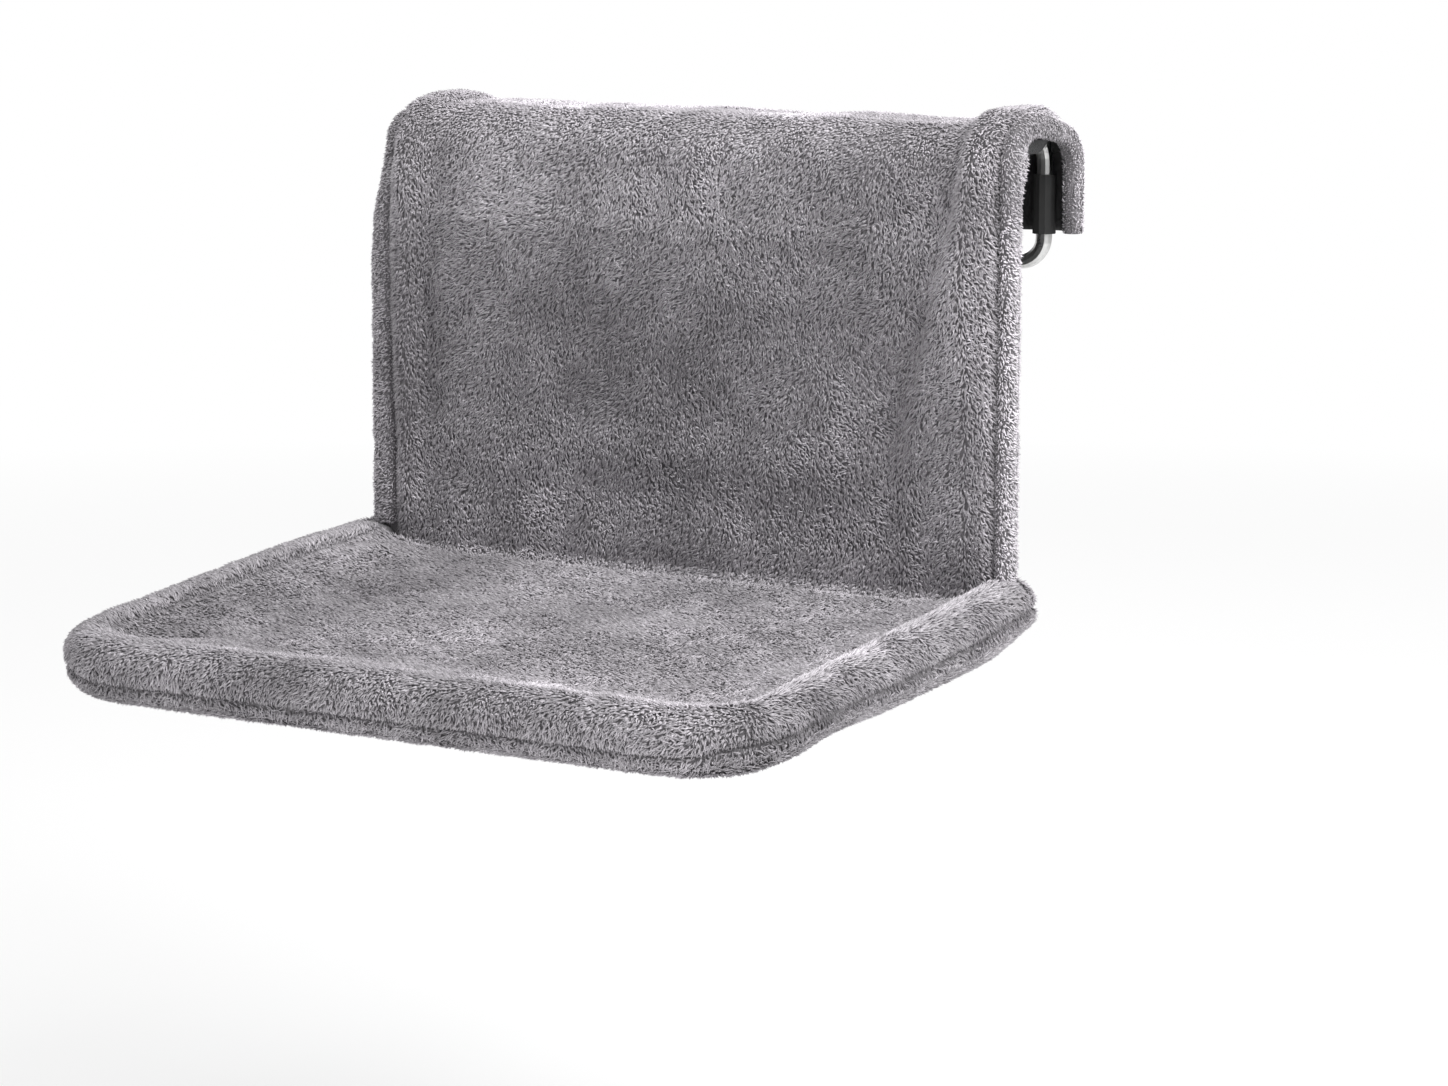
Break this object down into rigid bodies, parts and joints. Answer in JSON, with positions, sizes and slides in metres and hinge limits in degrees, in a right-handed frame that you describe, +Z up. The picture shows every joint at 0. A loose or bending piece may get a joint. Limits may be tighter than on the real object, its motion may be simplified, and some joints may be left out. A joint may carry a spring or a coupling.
{
  "type": "radiator cat bed",
  "caption": "Grey plush pet bed that hangs on a panel radiator: padded seat, back panel drawn over steel hangers, and sliding rear hooks.",
  "frame": {"origin": "on the radiator's top front edge, at the middle of the bed's width", "axes": "+X to the bed's right as seen from the room, +Y towards the wall, +Z up"},
  "size_m": [0.46, 0.3982, 0.3199],
  "materials": {
    "steel_frame": "satin powder coat",
    "hook_rod": "zinc plated",
    "socket_plastic": "moulded nylon",
    "screw_steel": "zinc plated",
    "rubber": "matte",
    "grey_plush": "short brushed pile",
    "grey_lining": "plain weave",
    "foam": "open-cell foam and wadding",
    "zip_metal": "dark plated"
  },
  "bodies": {
    "frame": {"hanger_left": "steel_frame", "hanger_right": "steel_frame", "cross_bar_upper": "steel_frame", "cross_bar_lower": "steel_frame", "seat_tube": "steel_frame", "corner_socket_left": "socket_plastic", "corner_socket_right": "socket_plastic", "clamp_collar_left": "socket_plastic", "clamp_collar_right": "socket_plastic", "upper_bar_bolt_left": "screw_steel", "upper_bar_bolt_right": "screw_steel", "lower_bar_bolt_left": "screw_steel", "lower_bar_bolt_right": "screw_steel", "hanger_screw_left": "screw_steel", "hanger_screw_right": "screw_steel", "seat_tube_screw_left": "screw_steel", "seat_tube_screw_right": "screw_steel", "arm_pad_left": "rubber", "arm_pad_right": "rubber", "back_panel": "grey_plush", "side_hem_left": "grey_plush", "side_hem_right": "grey_plush", "rim_cap_left": "grey_plush", "rim_cap_right": "grey_plush", "seat_top": "grey_plush", "seat_base": "grey_lining", "cover_lining": "grey_lining", "seat_wadding": "foam", "rim_foam": "foam", "zip_tape": "grey_lining", "zip_coil": "socket_plastic"},
    "rear_hooks": {"hook_left": "hook_rod", "hook_right": "hook_rod", "rear_tube": "steel_frame", "tail_sleeve_left": "rubber", "tail_sleeve_right": "rubber", "rear_flap": "grey_plush", "flap_hem_left": "grey_plush", "flap_hem_right": "grey_plush"},
    "clamp_screw_left": {"clamp_screw_left": "screw_steel"},
    "clamp_screw_right": {"clamp_screw_right": "screw_steel"},
    "zip_slider": {"zip_slider": "zip_metal"},
    "zip_pull": {"zip_pull": "zip_metal"}
  },
  "joints": [
    {"name": "hook_depth", "type": "slide", "parent": "frame", "child": "rear_hooks", "axis": [0, 1, 0], "range_m": [0, 0.02]},
    {"name": "clamp_turn_left", "type": "hinge", "parent": "frame", "child": "clamp_screw_left", "pos_m": [-0.19, 0.03, 0.0125], "axis": [1, 0, 0], "range_deg": [0, 720]},
    {"name": "clamp_turn_right", "type": "hinge", "parent": "frame", "child": "clamp_screw_right", "pos_m": [0.19, 0.03, 0.0125], "axis": [1, 0, 0], "range_deg": [0, 720]},
    {"name": "zip_run", "type": "slide", "parent": "frame", "child": "zip_slider", "axis": [1, 0, 0], "range_m": [0, 0.3]},
    {"name": "zip_pull_swing", "type": "hinge", "parent": "zip_slider", "child": "zip_pull", "pos_m": [-0.155, -0.07023, -0.26954], "axis": [0, 0.9962, 0.0872], "range_deg": [-70, 70]}
  ]
}
